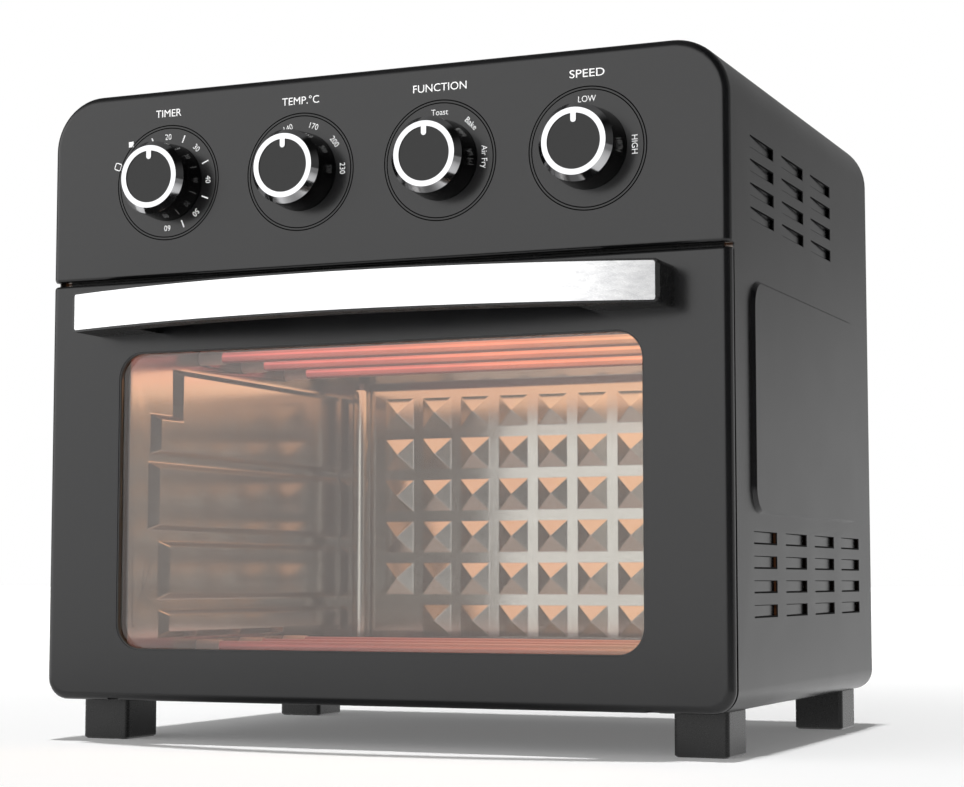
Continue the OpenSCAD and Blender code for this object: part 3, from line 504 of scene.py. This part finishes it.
# The radius in mm of the rounded edges of each carried-over node, and in ROUNDED_ANGLES the least
# angle in degrees of such an edge, where that isn't SHARP_ANGLE
ROUNDED_NODES = {
    "outer_wrap": 0.3, "back_panel": 0.3, "door_frame": 0.3, "control_panel": 0.12,
    "front_frame": 0.2, "cavity_left_wall": 1.1, "cavity_right_wall": 1.1, "cavity_back_wall": 0.35,
    "cavity_ceiling": 0.2, "cavity_corner_posts": 0.6, "crumb_tray": 0.2, "door_inner_frame": 0.3,
    "door_handle": 0.8, "handle_trim": 0.25, "foot_front_left": 0.8, "foot_front_right": 0.8,
    "foot_rear_left": 0.8, "foot_rear_right": 0.8, "cord_gland": 0.5, "case_screws": 0.25,
    "base_plate": 0.2, "door_arm_left": 0.3, "door_arm_right": 0.3, "hinge_bracket_left": 0.25,
    "hinge_bracket_right": 0.25, "heater_insulators": 0.5,
}
ROUNDED_ANGLES = {"cavity_left_wall": 12, "cavity_right_wall": 12, "cavity_back_wall": 14}
for dial in DIALS:
    ROUNDED_NODES[f"{dial}_knob"] = 0.3
    ROUNDED_NODES[f"{dial}_knob_ring"] = 0.15
    ROUNDED_ANGLES[f"{dial}_knob"] = ROUNDED_ANGLES[f"{dial}_knob_ring"] = 20


def clear_normals(mesh):
    """The imported normals describe the sharp mesh, so they go before its edges are rounded."""
    for name in ("custom_normal", "sharp_edge", "sharp_face"):
        attribute = mesh.attributes.get(name)
        if attribute:
            mesh.attributes.remove(attribute)
    mesh.polygons.foreach_set("use_smooth", [True] * len(mesh.polygons))


def round_edges(obj, radius, angle):
    """Rounds the sharp edges of obj, as a real pressed or moulded edge is."""
    clear_normals(obj.data)
    weld = obj.modifiers.new("weld", "WELD")
    weld.merge_threshold = WELD_REACH
    rounded = obj.modifiers.new("rounded_edges", "BEVEL")
    rounded.width = radius
    rounded.segments = BEVEL_STEPS
    rounded.limit_method = "ANGLE"
    rounded.angle_limit = angle
    rounded.use_clamp_overlap = True
    rounded.harden_normals = False
    weighted = obj.modifiers.new("flat_faces", "WEIGHTED_NORMAL")
    weighted.mode = "FACE_AREA"
    weighted.weight = NORMAL_WEIGHT
    weighted.keep_sharp = False


def round_cad_edges():
    for node, radius in ROUNDED_NODES.items():
        round_edges(NODES[node], mm(radius), math.radians(ROUNDED_ANGLES.get(node, SHARP_ANGLE)))


# ---------------------------------------------------------------- dial scales and trim
# How far a mark stands out of the face that it is on, and how far it reaches in
MARK_PROUD = mm(0.02)
MARK_DEEP = mm(0.2)
CAPITAL_SHARE = 0.7  # height of the font's capitals, as a share of its size
LETTER_STEPS = 4
JOIN_REACH = mm(0.001)
# Each dial's word and its width
LABELS = {"timer": ("TIMER", mm(16.4)), "temperature": ("TEMP.\u00b0C", mm(22.7)),
          "function": ("FUNCTION", mm(31.0)), "speed": ("SPEED", mm(19.2))}
LABEL_RISE = mm(39.3)
LABEL_HEIGHT = mm(4.2)
# Each scale's words and numbers, with their angles clockwise from the top
SCALES = {
    "timer": [(str(10 * step), 45 * (step - 2)) for step in range(1, 7)],
    "temperature": [(str(80 + 30 * step), -88 + 35.6 * step) for step in range(6)],
    "function": [("Toast", 0), ("Bake", 45), ("Air Fry", 90)],
    "speed": [("LOW", 0), ("HIGH", 90)],
}
MARK_RADIUS = mm(25.8)
DIGIT_HEIGHT = mm(3.2)
DIGIT_NARROW = 0.93  # how much narrower the scale's letters are than the font's
TICK_ANGLES = [-22.5, 22.5, 67.5, 112.5, 157.5]
TICK_SIZE = (mm(0.75), mm(4.4))
# The diamond's and the toast sign's places are a radius and an angle on the timer's dial
DIAMOND = mm(2.2)
DIAMOND_PLACE = (mm(33.6), -46)
TOAST_PLACE = (mm(34.4), -71)
TOAST_SIZE = mm(4.3)
TOAST_LINE = mm(0.5)
RING_LINES = [(mm(32.2), mm(0.6)), (mm(30.7), mm(0.45))]  # each circle's radius and line
# The window's line: how far the glass reaches behind the frame, and the line's width and depths
GLASS_LAP = mm(6.5)
WINDOW_RADIUS = mm(15)
GASKET_LINE = mm(0.9)
GASKET_FRONT = mm(1.8)
GASKET_BACK = mm(0.01)
# The dark strip of painted shade in the gap above the door: its margin and its depths
STRIP_MARGIN = mm(5)
STRIP_FRONT = mm(1.5)
STRIP_BACK = mm(0.1)
# Each block of louvres: height of its foot above the base plate, columns, length of a louvre, and
# the widths of the dark lines along its lower and upper edges, each a cut slit and painted shade
LOUVRES = [(mm(250.7), 3, mm(44.5), (mm(0.15), mm(0.9))),
           (mm(46.5), 4, mm(43.5), (mm(0.9), mm(0.35)))]
LOUVRE_ROWS = 4
LOUVRE_START = mm(38)
LOUVRE_PITCH = (mm(61), mm(12.5))
LOUVRE_HEIGHT = mm(6)


def new_piece(name, mesh_maker, body, slot):
    """A new flat-faced mesh, built by mesh_maker(bm) in the frame's place, that rides on a body."""
    mesh = bpy.data.meshes.new(name)
    bm = bmesh.new()
    mesh_maker(bm)
    bmesh.ops.recalc_face_normals(bm, faces=bm.faces)
    bm.to_mesh(mesh)
    bm.free()
    mesh.polygons.foreach_set("use_smooth", [False] * len(mesh.polygons))
    piece = bpy.data.objects.new(name, mesh)
    bpy.context.scene.collection.objects.link(piece)
    finish_of(piece, slot)
    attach(piece, body)


def on_panel(dial, radius, angle):
    """The place of a mark at a radius and a clockwise angle in degrees, with its top outwards."""
    low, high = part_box(f"{dial}_shaft")
    turn = math.radians(angle)
    panel_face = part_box("control_panel")[0][1]
    centre = Vector(((low[0] + high[0]) / 2, panel_face, (low[2] + high[2]) / 2))
    outwards = Vector((math.sin(turn), 0, math.cos(turn))) * radius
    return Matrix.Translation(centre + outwards) @ Matrix.Rotation(turn, 4, "Y")


def add_text(bm, text, place, height, width=None):
    """Raised letters, height tall in capitals and width wide if one is given, centred on place."""
    curve = bpy.data.curves.new("letters", "FONT")
    curve.body = text
    curve.resolution_u = LETTER_STEPS
    curve.extrude = 0.5  # each way, so the letters are 1 deep
    letters = bpy.data.objects.new("letters", curve)
    bpy.context.scene.collection.objects.link(letters)
    bpy.context.view_layer.update()
    depsgraph = bpy.context.evaluated_depsgraph_get()
    solid = bpy.data.meshes.new_from_object(letters.evaluated_get(depsgraph))
    xs = [vertex.co.x for vertex in solid.vertices]
    scale = height / CAPITAL_SHARE
    stretch = width / (max(xs) - min(xs)) if width else scale * DIGIT_NARROW
    middle = Vector(((max(xs) + min(xs)) / 2, CAPITAL_SHARE / 2, 0))
    sizes = Matrix.Diagonal((stretch, scale, MARK_PROUD + MARK_DEEP, 1))
    sink = Matrix.Translation((0, (MARK_DEEP - MARK_PROUD) / 2, 0))
    upright = Matrix.Rotation(math.radians(90), 4, "X")
    solid.transform(place @ sink @ upright @ sizes @ Matrix.Translation(-middle))
    start = len(bm.verts)
    bm.from_mesh(solid)
    bm.verts.ensure_lookup_table()
    bmesh.ops.remove_doubles(bm, verts=bm.verts[start:], dist=JOIN_REACH)
    bpy.data.objects.remove(letters)
    bpy.data.meshes.remove(solid)


def add_prism(bm, place, outline, hole=(), front=-MARK_PROUD, back=MARK_DEEP):
    """A flat solid with an outline of (right, up) points, and maybe a hole of as many points."""
    loops = []
    for points in (outline, hole):
        for y in (front, back):
            loops.append([bm.verts.new(place @ Vector((x, y, z))) for x, z in points])
    outer_front, outer_back, inner_front, inner_back = loops
    if not hole:
        bm.faces.new(outer_front)
        bm.faces.new(outer_back)
    for i in range(len(outline)):
        j = (i + 1) % len(outline)
        bm.faces.new((outer_front[i], outer_front[j], outer_back[j], outer_back[i]))
        if hole:
            bm.faces.new((inner_front[i], inner_front[j], inner_back[j], inner_back[i]))
            bm.faces.new((outer_front[i], outer_front[j], inner_front[j], inner_front[i]))
            bm.faces.new((outer_back[i], outer_back[j], inner_back[j], inner_back[i]))


def rectangle(width, height):
    x, z = width / 2, height / 2
    return [(-x, -z), (x, -z), (x, z), (-x, z)]


def rounded_outline(width, height, radius, steps=10):
    points = []
    for sx, sz, first in ((1, 1, 0), (-1, 1, 90), (-1, -1, 180), (1, -1, 270)):
        for step in range(steps + 1):
            turn = math.radians(first + 90 * step / steps)
            points.append((sx * (width / 2 - radius) + radius * math.cos(turn),
                           sz * (height / 2 - radius) + radius * math.sin(turn)))
    return points


def circle(radius, steps=128):
    turns = [math.tau * i / steps for i in range(steps)]
    return [(radius * math.cos(turn), radius * math.sin(turn)) for turn in turns]


def dial_circles(bm):
    """The two thin circles round each knob."""
    for dial in DIALS:
        for radius, line in RING_LINES:
            add_prism(bm, on_panel(dial, 0, 0), circle(radius + line / 2),
                      circle(radius - line / 2))


def dial_print(bm):
    """The dials' words, numbers, ticks and signs."""
    for dial in DIALS:
        label, width = LABELS[dial]
        add_text(bm, label, on_panel(dial, LABEL_RISE, 0), LABEL_HEIGHT, width)
        for text, angle in SCALES[dial]:
            add_text(bm, text, on_panel(dial, MARK_RADIUS, angle), DIGIT_HEIGHT)
    for angle in TICK_ANGLES:
        add_prism(bm, on_panel("timer", MARK_RADIUS, angle), rectangle(*TICK_SIZE))
    diamond = [(0, -DIAMOND), (DIAMOND, 0), (0, DIAMOND), (-DIAMOND, 0)]
    add_prism(bm, on_panel("timer", *DIAMOND_PLACE), diamond)
    toast_hole = TOAST_SIZE - 2 * TOAST_LINE
    add_prism(bm, on_panel("timer", *TOAST_PLACE),
              rounded_outline(TOAST_SIZE, TOAST_SIZE, TOAST_SIZE / 4),
              rounded_outline(toast_hole, toast_hole, TOAST_SIZE / 4 - TOAST_LINE))


def painted_shade_strip(bm):
    """Painted shade: a dark strip on the front frame, which darkens the view through the gap above
    the door.
    """
    frame_low, frame_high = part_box("front_frame")
    panel_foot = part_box("control_panel")[0][2]
    width = frame_high[0] - frame_low[0] - 2 * STRIP_MARGIN
    height = 2 * (frame_high[2] - panel_foot)
    middle = Vector(((frame_low[0] + frame_high[0]) / 2, frame_low[1], panel_foot))
    add_prism(bm, Matrix.Translation(middle), rectangle(width, height), front=-STRIP_FRONT,
              back=STRIP_BACK)


def louvre_slit_and_shade(bm):
    """Dark lines along the long edges of the casing's louvres: the cut slit, widened by painted
    shade.
    """
    panel_low, panel_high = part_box("control_panel")
    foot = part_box("base_plate")[0][2]
    sides = ((-1, panel_low[0]), (1, panel_high[0]))
    for foot_z, columns, length, dark_lines in LOUVRES:
        for (side, x), column, row in product(sides, range(columns), range(LOUVRE_ROWS)):
            turn = Matrix.Rotation(math.radians(side * 90), 4, "Z")
            y = panel_low[1] + LOUVRE_START + column * LOUVRE_PITCH[0]
            z = foot + foot_z + row * LOUVRE_PITCH[1]
            for edge, line in enumerate(dark_lines):
                middle = Vector((x, y + length / 2, z + edge * LOUVRE_HEIGHT))
                add_prism(bm, Matrix.Translation(middle) @ turn, rectangle(length, line))


def window_gasket(bm):
    """The dark line round the door's window."""
    glass_low, glass_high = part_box("door_glass")
    width = glass_high[0] - glass_low[0] - 2 * GLASS_LAP
    height = glass_high[2] - glass_low[2] - 2 * GLASS_LAP
    x, z = [(glass_low[axis] + glass_high[axis]) / 2 for axis in (0, 2)]
    middle = Vector((x, glass_low[1], z))
    add_prism(bm, Matrix.Translation(middle), rounded_outline(width, height, WINDOW_RADIUS),
              rounded_outline(width - 2 * GASKET_LINE, height - 2 * GASKET_LINE,
                              WINDOW_RADIUS - GASKET_LINE),
              front=-GASKET_FRONT, back=GASKET_BACK)


# ---------------------------------------------------------------- run
bpy.context.scene.view_settings.view_transform = "Standard"
make_camera()
make_studio()
make_lights()
make_floor()
finish_cad_nodes()
round_cad_edges()
new_piece("dial_circles", dial_circles, "root", "black_print")
new_piece("dial_print", dial_print, "root", "white_print")
# Dark lines at the louvres: cut slits, widened by painted shade
new_piece("louvre_slit_and_shade", louvre_slit_and_shade, "root", "black_print")
# a dark strip of painted shade in the gap above the door
new_piece("painted_shade_strip", painted_shade_strip, "root", "black_plastic")
new_piece("window_gasket", window_gasket, "door", "seal_rubber")
